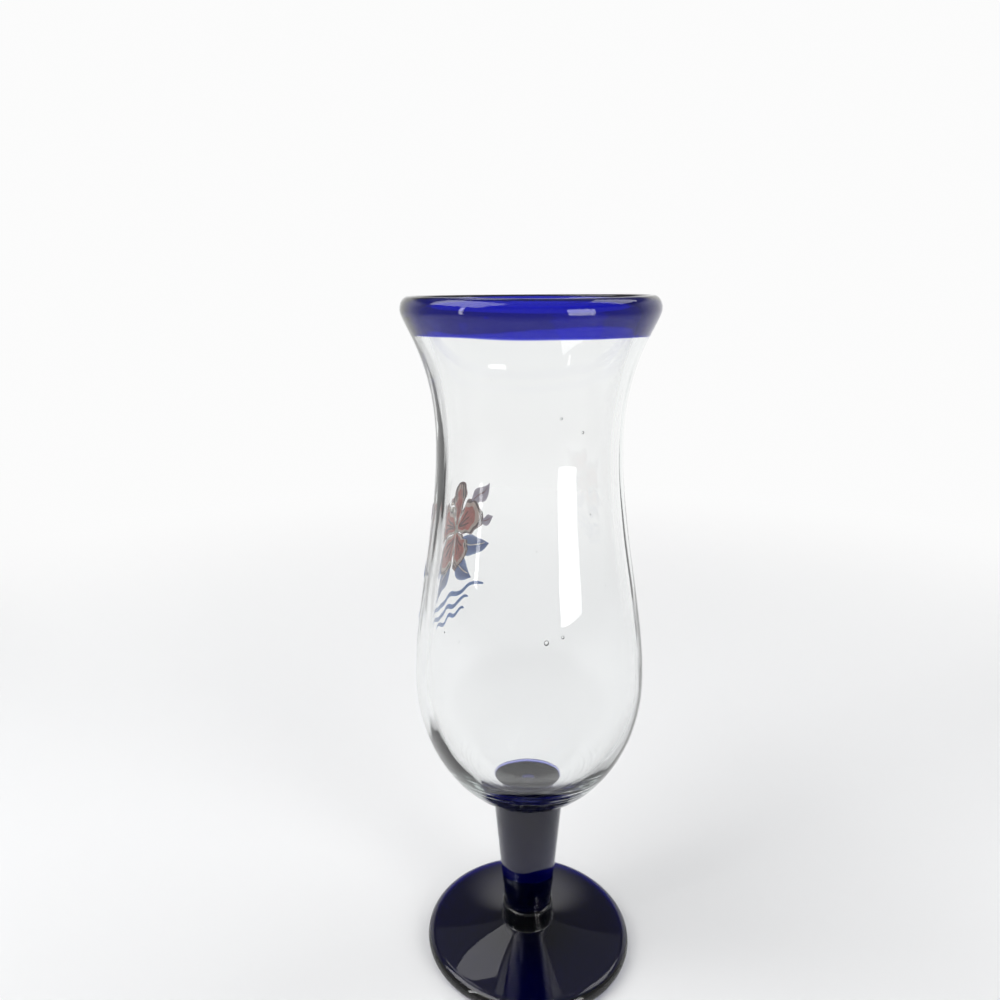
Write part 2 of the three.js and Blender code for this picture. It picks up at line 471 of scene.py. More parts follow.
def glass(name, tint, density, wave_scale, wave_stretch, wave_depth):
    """Bending, mirroring glass. tint and density say what it takes on the way through, and waves of a
    scale, stretch along Z and depth bump it."""
    material, tree, output = new_material(name)
    shader = tree.nodes.new("ShaderNodeBsdfPrincipled")
    shader.inputs["Base Color"].default_value = (1.0, 1.0, 1.0, 1.0)
    shader.inputs["Transmission Weight"].default_value = 1.0
    free = tree.nodes.new("ShaderNodeAttribute")
    free.attribute_name = "free_face"
    index = tree.nodes.new("ShaderNodeMapRange")
    index.inputs["To Min"].default_value = 1.0
    index.inputs["To Max"].default_value = GLASS_INDEX
    tree.links.new(free.outputs["Fac"], index.inputs["Value"])
    tree.links.new(index.outputs["Result"], shader.inputs["IOR"])
    waves = object_noise(tree, wave_scale, wave_stretch, WAVE_DETAIL)
    tree.links.new(bumped(tree, waves, wave_depth), shader.inputs["Normal"])
    dull = object_noise(tree, *DULL_PLACES)
    rough = tree.nodes.new("ShaderNodeMath")
    rough.operation = "MULTIPLY"
    tree.links.new(spread(tree, dull, 0.0, SMEAR), rough.inputs[0])
    tree.links.new(free.outputs["Fac"], rough.inputs[1])
    tree.links.new(rough.outputs["Value"], shader.inputs["Roughness"])
    inside = tree.nodes.new("ShaderNodeVolumeAbsorption")
    inside.inputs["Color"].default_value = (*tint, 1.0)
    inside.inputs["Density"].default_value = density
    tree.links.new(shader.outputs["BSDF"], output.inputs["Surface"])
    tree.links.new(inside.outputs["Volume"], output.inputs["Volume"])
    return material


clear_glass = glass("clear_glass", (0.25, 0.42, 0.38), density=9.0, wave_scale=70.0, wave_stretch=0.3,
                    wave_depth=0.12 * MM)
print("made", clear_glass.name)

# %% [markdown]
# ## Cobalt glass
# Cobalt takes nearly all red and green within a few millimetres and lets blue through, so a thin lip
# shines royal blue and a thick stem is nearly black. Mostly the path through the glass makes the
# difference, so again it is absorption. The stem and collar are also given a deeper blue than the lip,
# and the foot the deepest: one cobalt glass, darkened there as painted shade from dim surroundings.

# %% Cobalt glass materials
COBALT_DENSITY = 900.0
# The fire's waves: how many a metre and their stretch along Z, and how deep they are
LIP_FIRE_WAVES = (80.0, 0.6)
BASE_FIRE_WAVES = (30.0, 0.5)
COBALT_WAVE = 0.08 * MM
lip_cobalt = glass("lip_cobalt", (0.0, 0.03, 0.84), COBALT_DENSITY, *LIP_FIRE_WAVES, COBALT_WAVE)
# Painted shade: the same cobalt is made deeper for stem and collar, and deepest for the foot
base_cobalt_painted_shade = glass("base_cobalt_painted_shade", (0.0, 0.04, 0.79), COBALT_DENSITY, *BASE_FIRE_WAVES, COBALT_WAVE)
foot_cobalt_painted_shade = glass("foot_cobalt_painted_shade", (0.0, 0.03, 0.77), COBALT_DENSITY, *BASE_FIRE_WAVES, COBALT_WAVE)
print("made", lip_cobalt.name, base_cobalt_painted_shade.name, "and", foot_cobalt_painted_shade.name)

# %% [markdown]
# ## The bowl
# The outside rises from the flat joint on the stem over a round base, through belly and waist, to the
# band. The inside comes down again to a rounder floor. Both walls are their own curves, so the glass
# between them grows thick round the lower belly, which is what bends the light there. Under the band the
# two run nearly side by side, because a wedge bends light like a prism, and would shift the band's far
# side where it is seen through the near one.

# %% Bowl profile
SIDE_HANDLES = (0.29, 0.34)
FLARE_HANDLES = (0.64, 0.10)
INSIDE_FLARE_HANDLES = (0.77, 0.08)
# Rows of the profile's stretches: the tool rings need close ones, the plain walls few
SEAT_ROWS = 12
RINGED_ROWS = 76
BASE_ROWS = 18
SIDE_ROWS = 40
FLARE_ROWS = 60
FLOOR_ROWS = 46
JOINT_ROWS = 6
# The tool rings lie below this place on the base's arc, in turns
RINGS_END_TURN = -0.11
# The first row round a pole, and the turn of an arc that stops just short of the axis
POLE_RING = 0.5 * MM
NEARLY_QUARTER = 0.245
# The bead of air in the stem's top, over which the bowl's seat is free
DIMPLE_RADIUS = 1.9 * MM


def outside_flare():
    """The outer wall from waist to rim."""
    low = (WAIST_RADIUS, WAIST_HEIGHT)
    return wall_curve(low, (RIM_RADIUS, RIM_HEIGHT), *FLARE_HANDLES, FLARE_ROWS)


def inside_flare():
    """The inner wall from waist to rim, thickening towards the lip."""
    low = (WAIST_RADIUS - WALL, WAIST_HEIGHT)
    high = (RIM_RADIUS - LIP_THICKNESS, RIM_HEIGHT)
    return wall_curve(low, high, *INSIDE_FLARE_HANDLES, FLARE_ROWS)


def bowl_outside():
    """Flat seat, elliptical base, belly to waist, flare up to the band."""
    seat_share = STEM_TOP_RADIUS / BELLY_RADIUS
    lift = math.sqrt(1.0 - seat_share**2)
    drop = (BELLY_HEIGHT - STEM_TOP) / lift
    seat_turn = -math.asin(lift) / (2 * math.pi)
    seat = line((POLE_RING, STEM_TOP), (STEM_TOP_RADIUS, STEM_TOP), SEAT_ROWS)
    ringed = arc((0.0, BELLY_HEIGHT), BELLY_RADIUS, drop, seat_turn, RINGS_END_TURN, RINGED_ROWS)
    base = arc((0.0, BELLY_HEIGHT), BELLY_RADIUS, drop, RINGS_END_TURN, 0.0, BASE_ROWS)
    belly = (BELLY_RADIUS, BELLY_HEIGHT)
    side = wall_curve(belly, (WAIST_RADIUS, WAIST_HEIGHT), *SIDE_HANDLES, SIDE_ROWS)
    flare = part_below(outside_flare(), BAND_EDGE_OUTSIDE - HAIR)
    return np.concatenate([seat, ringed[1:], base[1:], side[1:], flare[1:]])


def bowl_inside():
    """Down from the band to the waist, the belly and the floor."""
    flare = part_below(inside_flare(), BAND_EDGE_INSIDE - HAIR)[::-1]
    inner = BELLY_RADIUS - WALL
    waist = (WAIST_RADIUS - WALL, WAIST_HEIGHT)
    side = wall_curve((inner, BELLY_HEIGHT), waist, *SIDE_HANDLES, SIDE_ROWS)[::-1]
    depth = BELLY_HEIGHT - STEM_TOP - BASE_THICKNESS
    floor = arc((0.0, BELLY_HEIGHT), inner, depth, 0.0, -NEARLY_QUARTER, FLOOR_ROWS)
    return np.concatenate([flare, side[1:], floor[1:]])


print("bowl profile:", len(bowl_outside()), "rows outside,", len(bowl_inside()), "inside")


# %% Bowl surface
def joint_rows(first, last):
    """Rows between two finished rows, without either: (1 - s) first + s last, in equal steps of s."""
    share = np.linspace(0.0, 1.0, JOINT_ROWS + 2)[1:-1, None, None]
    return (1.0 - share) * first[None] + share * last[None]


def bowl_grid():
    """Outside rows, the joint under the band, then inside rows, with poles under the seat and on the
    floor. The seat is joined to the stem, except over the bead of air at its middle."""
    outer = bowl_outside()
    outside = carried_round(outer, AROUND, outside_shift)
    inside = carried_round(bowl_inside(), AROUND, inside_shift)
    joint = joint_rows(outside[-1], inside[0])
    floor_height = STEM_TOP + BASE_THICKNESS
    poles = [(0.0, 0.0, STEM_TOP), (0.0, 0.0, floor_height)]
    in_joint = np.zeros(len(outside) + len(joint) + len(inside), bool)
    in_joint[:SEAT_ROWS] = outer[:SEAT_ROWS, 0] > DIMPLE_RADIUS
    in_joint[len(outside) - 1:len(outside) + len(joint) + 1] = True
    return (np.concatenate([outside, joint, inside]), poles), in_joint


bowl_surface, bowl_joint = bowl_grid()
print("bowl surface:", bowl_surface[0].shape[0], "rows by", bowl_surface[0].shape[1], "columns")

# %% [markdown]
# ## Seeds
# Small air bubbles, which glass makers call seeds, stay in hand-blown walls and are drawn out along
# them. Each is a closed oval inside the wall whose faces look into the air, so that light leaves the
# glass there and comes back in. The four largest sit where they show from the front.

# %% Seeds in the wall
LARGE_SEEDS = [(8.5, 136.0, 0.85), (16.7, 137.3, 0.55), (17.7, 201.6, 0.40), (31.4, 197.1, 0.45)]
SMALL_SEEDS = 14
SMALL_SEED_HEIGHTS = (92.0, 212.0)
SMALL_SEED_LENGTHS = (0.14, 0.34)
# Where the random numbers start, so that every run draws the same seeds
CHANCE_START = 11
# A seed's half width along the wall and through it, as shares of its half length
SEED_ALONG = 0.9
SEED_THROUGH = 0.5
SEED_ROWS = 12
SEED_COLUMNS = 20


def seed_table():
    """Rows of turn from the front in degrees, height and half length in millimetres."""
    chance = np.random.default_rng(CHANCE_START)
    turns = chance.uniform(-180.0, 180.0, SMALL_SEEDS)
    heights = chance.uniform(*SMALL_SEED_HEIGHTS, SMALL_SEEDS)
    lengths = chance.uniform(*SMALL_SEED_LENGTHS, SMALL_SEEDS)
    return np.concatenate([LARGE_SEEDS, np.stack([turns, heights, lengths], axis=1)])


def seed_grid(turn, height, half_length, outer, inner):
    """An oval void in mid-wall: half_length up the wall, flatter through it; rows go downwards, so its
    faces look inwards."""
    angle = math.radians(turn - 90.0)
    middle = sum(np.interp(height, wall[:, 1], wall[:, 0]) for wall in (outer, inner)) / 2
    polar = np.linspace(0.0, math.pi, SEED_ROWS)[1:-1, None]
    round_it = ring_angles(SEED_COLUMNS)[None, :]
    out = middle + SEED_THROUGH * half_length * np.sin(polar) * np.cos(round_it)
    along = SEED_ALONG * half_length * np.sin(polar) * np.sin(round_it)
    up = height + half_length * np.cos(polar) * np.ones_like(round_it)
    x = out * math.cos(angle) - along * math.sin(angle)
    y = out * math.sin(angle) + along * math.cos(angle)
    centre = (middle * math.cos(angle), middle * math.sin(angle))
    poles = [(*centre, height + half_length), (*centre, height - half_length)]
    return np.stack([x, y, up], axis=2), poles


outer_rise = bowl_outside()[SEAT_ROWS - 1:]
inner_rise = bowl_inside()[::-1]
seeds = [seed_grid(turn, height * MM, length * MM, outer_rise, inner_rise)
         for turn, height, length in seed_table()]
bowl = solid_from_grids("bowl_clear", [bowl_surface] + seeds, bowl_joint)
finished(bowl, "bowl", clear_glass)

# %% [markdown]
# ## The lip
# A trail of cobalt is wound on to the bowl's edge and melted in, so the band is flush with the wall
# and its top is a full round that thickens a little. It is cut from the same two flare curves as the
# bowl, so that they meet without a step, and its profile closes on itself.

# %% Lip band
CROWN_ROWS = 40


def lip_band_grid():
    """Up the outside of the flare, over the round lip, and down the inside."""
    outer = part_above(outside_flare(), BAND_EDGE_OUTSIDE + HAIR)
    inner = part_above(inside_flare(), BAND_EDGE_INSIDE + HAIR)[::-1]
    half = LIP_THICKNESS / 2
    crown = arc((RIM_RADIUS - half, RIM_HEIGHT), half, LIP_CROWN, 0.0, 0.5, CROWN_ROWS)
    top = CROWN_ROWS // 2
    outside = carried_round(np.concatenate([outer, crown[1:top]]), AROUND, outside_shift)
    inside = carried_round(np.concatenate([crown[top:-1], inner]), AROUND, inside_shift)
    joint = joint_rows(inside[-1], outside[0])
    rows = np.concatenate([outside, inside, joint])
    in_joint = np.zeros(len(rows), bool)
    in_joint[len(outside) + len(inside) - 1:] = True
    in_joint[0] = True
    return (rows, None), in_joint


lip_surface, lip_joint = lip_band_grid()
lip = solid_from_grids("lip_band", [lip_surface], lip_joint)
finished(lip, "rim_band", lip_cobalt)

# %% [markdown]
# ## The stem
# The stem is drawn from one gather: it tapers towards the foot and flares where it takes the bowl, and
# a dimple in its top traps a bead of air. Its flat ends are fused to their neighbours, and its side is
# free, so the profile is put together from stretches that say which they are.

# %% Stem
STEM_COLUMNS = 128
STEM_FOOT_RADIUS = 8.4 * MM
STEM_FLARE = 0.9 * MM
STEM_FLARE_HEIGHT = 2.4 * MM
# The stem's top is pressed this far into the soft bowl, and a line of air is left round its edge
SEAT_DEPTH = 0.6 * MM
SEAT_ROUND = 0.3 * MM
DIMPLE_DEPTH = 2.2 * MM
STEM_WAVES = [(0.10 * MM, 2, 6.0, 0.7), (0.05 * MM, 3, -9.0, 1.6)]
# The stem is round at its joints, and oval from these distances on
STEM_FOOT_TRUE = 8 * MM
STEM_TOP_TRUE = 10 * MM


def stem_shift(angle, radius, height):
    """A drawn stem is slightly oval, more in its middle than at its joints."""
    begun = ease(height, COLLAR_TOP, COLLAR_TOP + STEM_FOOT_TRUE)
    left = 1.0 - ease(height, STEM_TOP - STEM_TOP_TRUE, STEM_TOP)
    side = ease(radius, 0.0, STEM_FOOT_RADIUS)
    return swell(angle, height, STEM_WAVES) * begun * left * side, np.zeros(1)


def stem_grid():
    """Bottom disc, taper, flare, top disc and dimple."""
    bottom = COLLAR_TOP + HAIR
    top = STEM_TOP + SEAT_DEPTH
    inset = STEM_TOP_RADIUS - SEAT_ROUND
    neck = (STEM_TOP_RADIUS - STEM_FLARE, STEM_TOP - STEM_FLARE_HEIGHT)
    disc = line((POLE_RING, bottom), (STEM_FOOT_RADIUS, bottom), count=8)
    taper = line((STEM_FOOT_RADIUS, bottom), neck, count=40)[1:]
    flare = arc((STEM_TOP_RADIUS, neck[1]), STEM_FLARE, STEM_FLARE_HEIGHT, 0.5, 0.25, count=12)
    edge = arc((inset, top - SEAT_ROUND), SEAT_ROUND, SEAT_ROUND, 0.0, 0.25, count=10)
    lid = line((inset, top), (DIMPLE_RADIUS, top), count=10)
    dimple = arc((0.0, top), DIMPLE_RADIUS, DIMPLE_DEPTH, 0.0, -NEARLY_QUARTER, count=14)
    under_bowl = dimple[1:, 1] > STEM_TOP
    profile, in_joint = flagged([(disc, True), (taper, False), (flare[1:], False), (edge[:-1], False),
                                 (lid, True), (dimple[1:], under_bowl)])
    poles = [(0.0, 0.0, bottom), (0.0, 0.0, top - DIMPLE_DEPTH)]
    return (carried_round(profile, STEM_COLUMNS, stem_shift), poles), in_joint


stem_surface, stem_joint = stem_grid()
stem = solid_from_grids("stem_cobalt", [stem_surface], stem_joint)
finished(stem, "stem", base_cobalt_painted_shade)

# %% [markdown]
# ## The collar
# The collar is a short drum pressed between stem and foot. Its upper edge is rounded and its lower one
# runs out on to the foot in a small fillet, and those two thin curves catch the light as bright lines.

# %% Collar
COLLAR_OVERHANG = 0.8 * MM
COLLAR_FILLET = 0.5 * MM
COLLAR_WAVES = [(0.05 * MM, 2, 0.0, 1.9), (0.03 * MM, 3, 40.0, 0.3)]
# The share of the drum's half height up to which it is uneven
COLLAR_UNEVEN = 0.6


def collar_shift(angle, radius, height):
    """A pressed drum is a little uneven round its side, and true at its joints."""
    middle = (FOOT_TOP + COLLAR_TOP) / 2
    away = np.abs(height - middle) / (COLLAR_TOP - middle)
    side = (1.0 - ease(away, COLLAR_UNEVEN, 1.0)) * ease(radius, 0.0, STEM_FOOT_RADIUS)
    return swell(angle, height, COLLAR_WAVES) * side, np.zeros(1)


def collar_grid():
    """Flat bottom, fillet on to the foot, upright side, round upper edge, flat top."""
    bottom = FOOT_TOP + HAIR
    top = COLLAR_TOP - HAIR
    drum = STEM_FOOT_RADIUS + COLLAR_OVERHANG
    round_foot = top - COLLAR_OVERHANG
    under = line((POLE_RING, bottom), (COLLAR_SEAT_RADIUS, bottom), count=8)
    fillet_middle = (COLLAR_SEAT_RADIUS, bottom + COLLAR_FILLET)
    fillet = arc(fillet_middle, COLLAR_FILLET, COLLAR_FILLET, -0.25, -0.5, count=12)[1:]
    side = line((drum, bottom + COLLAR_FILLET), (drum, round_foot), count=18)
    edge = arc((STEM_FOOT_RADIUS, round_foot), COLLAR_OVERHANG, COLLAR_OVERHANG, 0.0, 0.25, count=14)
    over = line((STEM_FOOT_RADIUS, top), (POLE_RING, top), count=8)
    profile, in_joint = flagged([(under, True), (fillet, False), (side[1:], False),
                                 (edge[1:-1], False), (over, True)])
    poles = [(0.0, 0.0, bottom), (0.0, 0.0, top)]
    return (carried_round(profile, STEM_COLUMNS, collar_shift), poles), in_joint


collar_surface, collar_joint = collar_grid()
collar = solid_from_grids("collar_drum", [collar_surface], collar_joint)
finished(collar, "foot_collar", base_cobalt_painted_shade)

# %% [markdown]
# ## The foot
# The foot is spun out flat from a last gather. It has a round edge, a slightly crowned top and a hollow
# underside, so that it stands on a ring. A ground mark there shows where the glass was held while its
# lip was worked.

# %% Foot
FOOT_EDGE = 6.0 * MM
STANDING_RING = 5.0 * MM
FOOT_HOLLOW = 1.4 * MM
PONTIL_RADIUS = 8.0 * MM
PONTIL_DEPTH = 1.1 * MM
CROWN_BEND_OUT = 0.42
CROWN_BEND_UP = 0.25
FOOT_OVAL = 0.45 * MM
FOOT_OVAL_TURN = math.radians(45)
# The foot is round inside this radius
FOOT_TRUE = 14 * MM


def foot_shift(angle, radius, height):
    """A spun foot is slightly oval: narrower on one line across it, full on the other."""
    oval = -FOOT_OVAL * (1.0 + np.cos(2.0 * (angle - FOOT_OVAL_TURN)))
    return oval * ease(radius, FOOT_TRUE, FOOT_RADIUS), np.zeros(1)


def foot_grid():
    """Ground mark, hollow, standing ring, round edge, crown and the seat of the collar."""
    half = FOOT_EDGE / 2
    ring_outer = FOOT_RADIUS - half
    ring_inner = ring_outer - STANDING_RING
    top = FOOT_TOP - HAIR
    pull_out = COLLAR_SEAT_RADIUS + CROWN_BEND_OUT * (ring_outer - COLLAR_SEAT_RADIUS)
    pull_up = FOOT_EDGE + CROWN_BEND_UP * (FOOT_TOP - FOOT_EDGE)
    mark = arc((0.0, FOOT_HOLLOW), PONTIL_RADIUS, PONTIL_DEPTH, NEARLY_QUARTER, 0.0, count=16)
    hollow_pull = ((PONTIL_RADIUS + ring_inner) / 2, FOOT_HOLLOW)
    hollow = bend((PONTIL_RADIUS, FOOT_HOLLOW), hollow_pull, (ring_inner, 0.0), count=24)
    ring = line((ring_inner, 0.0), (ring_outer, 0.0), count=6)
    edge = arc((ring_outer, half), half, half, -0.25, 0.25, count=40)
    crown = bend((ring_outer, FOOT_EDGE), (pull_out, pull_up), (COLLAR_SEAT_RADIUS, top), count=50)
    seat = line((COLLAR_SEAT_RADIUS, top), (POLE_RING, top), count=10)
    free_rows = np.concatenate([mark, hollow[1:], ring[1:], edge[1:], crown[1:-1]])
    profile, in_joint = flagged([(free_rows, False), (seat, True)])
    poles = [(0.0, 0.0, FOOT_HOLLOW + PONTIL_DEPTH), (0.0, 0.0, top)]
    return (carried_round(profile, AROUND, foot_shift), poles), in_joint


foot_surface, foot_joint = foot_grid()
foot = solid_from_grids("foot_disc", [foot_surface], foot_joint)
finished(foot, "foot", foot_cobalt_painted_shade)

# %% [markdown]
# ## The print
# Bar glasses carry a coloured print: glass enamel pushed through a screen and fired on, so it lies on
# the wall in thin patches with soft edges. This one is a plain flower spray over waves. Each stroke is
# a path on the wall with a width along it, and its section is a flat oval, so it is a closed raised
# patch. All strokes share one middle layer, and a colour that lies on another is thicker than it, so
# it shows on both faces: the print is also seen through the glass, from inside the bowl.

# %% Strokes on the wall
PRINT_TURN = math.radians(151)
PRINT_HEIGHT = 147 * MM
PRINT_MIDDLE = 0.12 * MM
STROKE_COLUMNS = 16
# A stroke narrower than this is thinner too
THIN_STROKE = 0.25 * MM


def wall_place(across, upward, out):
    """A place on the outer wall: the height is the print's middle plus upward, the angle is the print's
    turn plus across over the wall's radius there, and out is added to that radius."""
    height = PRINT_HEIGHT + upward
    radius = np.interp(height, outer_rise[:, 1], outer_rise[:, 0])
    angle = PRINT_TURN + across / radius
    swollen, _ = outside_shift(angle, radius, height)
    radius = radius + swollen + out
    return np.stack([radius * np.cos(angle), radius * np.sin(angle), height], axis=-1)


def stroke(path, half_width, depth):
    """One stroke as a flat closed tube: half_width cos b across its path and depth sin b outwards,
    about the print's middle layer. The first and last path points are its poles."""
    along = np.gradient(path, axis=0)
    along = along / np.linalg.norm(along, axis=1, keepdims=True)
    aside = np.stack([-along[:, 1], along[:, 0]], axis=1)[1:-1, None, :]
    turn = ring_angles(STROKE_COLUMNS)[None, :]
    width = half_width[1:-1, None]
    flat = path[1:-1, None, :] + (width * np.cos(turn))[..., None] * aside
    out = PRINT_MIDDLE + depth * np.minimum(1.0, width / THIN_STROKE) * np.sin(turn)
    ends = wall_place(path[[0, -1], 0], path[[0, -1], 1], PRINT_MIDDLE)
    return wall_place(flat[..., 0], flat[..., 1], out), ends


print("print at", round(math.degrees(PRINT_TURN)), "degrees, height", round(PRINT_HEIGHT / MM), "mm")

# %% Leaves, petals, threads, dots and waves
# Rows along each kind of stroke
LEAF_ROWS, PETAL_ROWS, THREAD_ROWS, DOT_ROWS, WAVE_ROWS = 34, 44, 26, 18, 70
# A leaf's arch peaks earlier with a smaller power, and a line stays even for longer
LEAF_POWER = 0.8
THREAD_POWER = 0.3
WAVE_POWER = 0.35
# How wide a petal opens, how fast, how squarely it ends, and its ruffles' depth, pace and bow
PETAL_OPENING = 1.5
PETAL_POWER = 0.9
PETAL_END = 5
RUFFLE_DEPTH = 0.07
RUFFLE_PACE = 21.0
PETAL_BOW = 0.5
# Half turns of the sine in a wave line
WAVE_HALF_TURNS = 5


def steps(count):
    """Shares from 0 to 1, closer at both ends: (1 - cos a) / 2."""
    return (1.0 - np.cos(np.linspace(0.0, math.pi, count))) / 2


def reach(root, heading, length, curl, share):
    """A path from a root: length times the share along a heading in degrees, bowed aside by curl."""
    angle = math.radians(heading)
    ahead = length * share
    bow = curl * np.sin(math.pi * share)
    x = root[0] + ahead * math.cos(angle) - bow * math.sin(angle)
    y = root[1] + ahead * math.sin(angle) + bow * math.cos(angle)
    return np.stack([x, y], axis=1) * MM


def leaf(root, heading, length, curl, width, depth):
    """A leaf: its width is a sine arch that peaks before the middle."""
    share = steps(LEAF_ROWS)
    half_width = width * MM * np.sin(math.pi * share**LEAF_POWER)
    return stroke(reach(root, heading, length, curl, share), half_width, depth)


def petal(root, heading, length, width, depth):
    """A petal: its width grows with a power of its way along, and closes with the root of 1 less a
    higher power, so it is widest near its end; a small sine ruffles it."""
    share = steps(PETAL_ROWS)
    ruffle = 1.0 + RUFFLE_DEPTH * np.sin(RUFFLE_PACE * share)
    opened = PETAL_OPENING * share**PETAL_POWER * np.sqrt(1.0 - share**PETAL_END)
    return stroke(reach(root, heading, length, PETAL_BOW, share), width * MM * opened * ruffle, depth)


def thread(root, heading, length, curl, width, depth):
    """A line of nearly even width with rounded ends: a low power of the arch 4 s (1 - s)."""
    share = steps(THREAD_ROWS)
    half_width = width * MM * (4 * share * (1 - share))**THREAD_POWER
    return stroke(reach(root, heading, length, curl, share), half_width, depth)


def dot(place, radius, depth):
    """A round spot: the half width is that of a circle along its own middle line."""
    share = steps(DOT_ROWS)
    path = reach((place[0] - radius, place[1]), 0.0, 2 * radius, 0.0, share)
    return stroke(path, 2 * radius * MM * np.sqrt(share * (1 - share)), depth)


def wave(middle, length, crest, width, depth):
    """A wave line: crest times the sine of its way along, two and a half times."""
    share = steps(WAVE_ROWS)
    x = middle[0] + length * (share - 0.5)
    y = middle[1] + crest * np.sin(WAVE_HALF_TURNS * math.pi * share)
    path = np.stack([x, y], axis=1) * MM
    return stroke(path, width * MM * (4 * share * (1 - share))**WAVE_POWER, depth)


# %% [markdown]
# ## Enamel
# Enamel is ground glass with pigment in it. Fired, it is satin and a little grainy, and at a tenth of a
# millimetre it lets light through, so the print glows softly when the room behind it is bright.
# Subsurface with a reach near the print's thickness gives that, and three fine noises give the rest:
# the colour's clouds, the satin and the grain.

# %% Enamel colours
ENAMEL_THROUGH = 0.7
ENAMEL_REACH = 0.15 * MM
DARKEST = 0.80
LIGHTEST = 1.12
SATIN = (0.30, 0.52)
GRAIN_DEPTH = 0.02 * MM
# Each noise as how many a metre, stretch along Z, and detail
CLOUD_NOISE = (420.0, 1.0, 5.0)
SATIN_NOISE = (900.0, 1.0, 3.0)
GRAIN_NOISE = (1500.0, 1.0, 3.0)


def enamel(name, colour):
    """Fired enamel: satin, a little uneven in colour and grain, and so thin that light comes through."""
    material, tree, output = new_material(name)
    shader = tree.nodes.new("ShaderNodeBsdfPrincipled")
    shader.inputs["Subsurface Weight"].default_value = ENAMEL_THROUGH
    shader.inputs["Subsurface Radius"].default_value = (1.0, 1.0, 1.0)
    shader.inputs["Subsurface Scale"].default_value = ENAMEL_REACH
    shade = tree.nodes.new("ShaderNodeMix")
    shade.data_type = "RGBA"
    shade.inputs["A"].default_value = (*(DARKEST * c for c in colour), 1.0)
    shade.inputs["B"].default_value = (*(min(1.0, LIGHTEST * c) for c in colour), 1.0)
    clouds = spread(tree, object_noise(tree, *CLOUD_NOISE), 0.0, 1.0)
    satin = spread(tree, object_noise(tree, *SATIN_NOISE), *SATIN)
    grain = bumped(tree, object_noise(tree, *GRAIN_NOISE), GRAIN_DEPTH)
    tree.links.new(clouds, shade.inputs["Factor"])
    tree.links.new(shade.outputs["Result"], shader.inputs["Base Color"])
    tree.links.new(satin, shader.inputs["Roughness"])
    tree.links.new(grain, shader.inputs["Normal"])
    tree.links.new(shader.outputs["BSDF"], output.inputs["Surface"])
    return material


def printed(name, strokes, colour):
    """All strokes of one colour as one piece of the print."""
    piece = solid_from_grids(name, strokes)
    piece.data.materials.append(enamel(name + "_enamel", colour))
    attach(piece, "root")


# %% [markdown]
# ## The flower spray
# A screen print is laid down colour by colour, the ground first and the drawing on it last. Here each
# colour is one piece. The flower has five petals with a dark edge, a pale rim and a full colour, and
# over them veins and a stamen; leaves and buds stand round it, and three wave lines run below.

# %% Flower spray
# Half thicknesses, from the ground colours to what is drawn on them
GROUND, RIB, EDGE, PALE = (depth * MM for depth in (0.02, 0.03, 0.036, 0.046))
FULL, DRAWN, TOP = (depth * MM for depth in (0.06, 0.085, 0.105))
# The flower's middle, its petals' headings in degrees, and the length and half width of each layer
FLOWER = (0.0, 9.0)
PETAL_HEADINGS = [95 + 72 * k for k in range(5)]
EDGE_PETAL = (16.9, 7.0)
PALE_PETAL = (16.3, 6.4)
FULL_PETAL = (13.9, 5.3)
# The full colour and the veins start this far from the middle, and three veins fan out in each petal
FULL_START = 0.8
VEIN_START = 3.0
VEIN_FAN = (-17, 0, 17)
STAMEN_HEADING = 62
STAMEN_LENGTH = 11.0
# The spots round the stamen's tip: how many, how far from it, and their radius
TIP_SPOTS, TIP_RING, TIP_RADIUS = 5, 1.1, 0.55
# Leaves and buds: root, heading in degrees, length, curl and half width
LEAVES = [((-7.0, 4.0), 197, 16.0, 2.2, 4.2), ((7.0, 4.0), 343, 16.0, -2.2, 4.2),
          ((-4.0, -1.0), 226, 17.5, 2.0, 4.0), ((4.0, -1.0), 314, 17.5, -2.0, 4.0)]
BUDS = [((-11.5, 17.0), 140, 9.5, 0.9, 2.9), ((13.0, 17.5), 42, 8.5, -0.9, 2.7),
        ((-16.5, 9.0), 172, 6.5, 0.6, 2.2)]
# The lines along leaves and buds, as shares of the leaf's length and curl, or the bud's
RIB_LENGTH = 0.84
BUD_LINE_LENGTH = 0.8
RIB_CURL = 0.9
# Wave lines: middle, length, crest and half width
WAVES = [((0.0, -17.0), 43.0, 1.0, 1.0), ((1.5, -21.3), 34.0, 1.0, 0.95),
         ((-1.0, -25.4), 24.0, 0.9, 0.85)]


def around_flower(heading, distance):
    """A place at a heading and distance from the flower's middle."""
    angle = math.radians(heading)
    return FLOWER[0] + distance * math.cos(angle), FLOWER[1] + distance * math.sin(angle)


petal_edges = [petal(FLOWER, heading, *EDGE_PETAL, EDGE) for heading in PETAL_HEADINGS]
pale_petals = [petal(FLOWER, heading, *PALE_PETAL, PALE) for heading in PETAL_HEADINGS]
petals = [petal(around_flower(heading, FULL_START), heading, *FULL_PETAL, FULL)
          for heading in PETAL_HEADINGS]
veins = [thread(around_flower(heading, VEIN_START), heading + fan, length=8.2, curl=0.5, width=0.42,
                depth=DRAWN)
         for heading in PETAL_HEADINGS for fan in VEIN_FAN]
leaves = [leaf(*row, GROUND) for row in LEAVES]
ribs = [thread(root, heading, RIB_LENGTH * length, RIB_CURL * curl, width=0.34, depth=RIB)
        for root, heading, length, curl, _ in LEAVES]
buds = [leaf(*row, GROUND) for row in BUDS]
bud_lines = [thread(root, heading, BUD_LINE_LENGTH * length, RIB_CURL * curl, width=0.26, depth=RIB)
             for root, heading, length, curl, _ in BUDS]
tip_x, tip_y = around_flower(STAMEN_HEADING, STAMEN_LENGTH)
